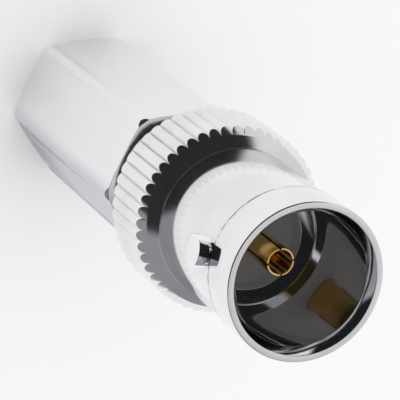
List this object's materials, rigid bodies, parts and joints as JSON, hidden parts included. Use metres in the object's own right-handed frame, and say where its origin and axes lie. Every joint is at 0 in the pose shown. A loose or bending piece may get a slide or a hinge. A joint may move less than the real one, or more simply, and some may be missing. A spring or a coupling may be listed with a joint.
{
  "type": "bnc connector",
  "caption": "In-line coaxial jack: a slotted contact inside a barrel with bayonet lugs and a fluted grip ring, screwed to a long hexagonal shell that clamps the cable.",
  "frame": {"origin": "centre of the hexagonal shell's rear face, which the part stands on", "axes": "+Z along the connector's axis, out of the mating mouth; +X through the right bayonet lug"},
  "size_m": [0.012, 0.012, 0.0386],
  "materials": {
    "nickel_barrel": "bright nickel plate on turned brass",
    "nickel_ring": "bright nickel plate on a fluted ring",
    "nickel_shell": "bright nickel plate on hexagonal bar",
    "nickel_clamp": "dull nickel plate",
    "gold_contact": "gold plate",
    "grey_insulator": "dark grey moulded",
    "white_insulator": "turned PTFE",
    "gasket_rubber": "moulded"
  },
  "bodies": {
    "shell": {"hex_shell": "nickel_shell"},
    "clamp": {"thrust_washer": "nickel_clamp", "cable_gasket": "gasket_rubber", "braid_clamp": "nickel_clamp"},
    "barrel": {"barrel": "nickel_barrel", "lug_left": "nickel_barrel", "lug_right": "nickel_barrel", "grip_ring": "nickel_ring", "front_insulator": "grey_insulator", "rear_insulator": "white_insulator", "insulator_bush": "nickel_clamp", "centre_contact": "gold_contact"}
  },
  "joints": [
    {"name": "clamp_turn", "type": "hinge", "parent": "shell", "child": "clamp", "pos_m": [0, 0, 0.0083], "axis": [0, 0, 1], "range_deg": [0, 2880]},
    {"name": "barrel_lift", "type": "slide", "parent": "clamp", "child": "barrel", "axis": [0, 0, 1], "range_m": [0, 0.006]}
  ],
  "couplings": [
    {"joint": "barrel_lift", "follows": "clamp_turn", "m_per_rad": 0.00011937}
  ]
}
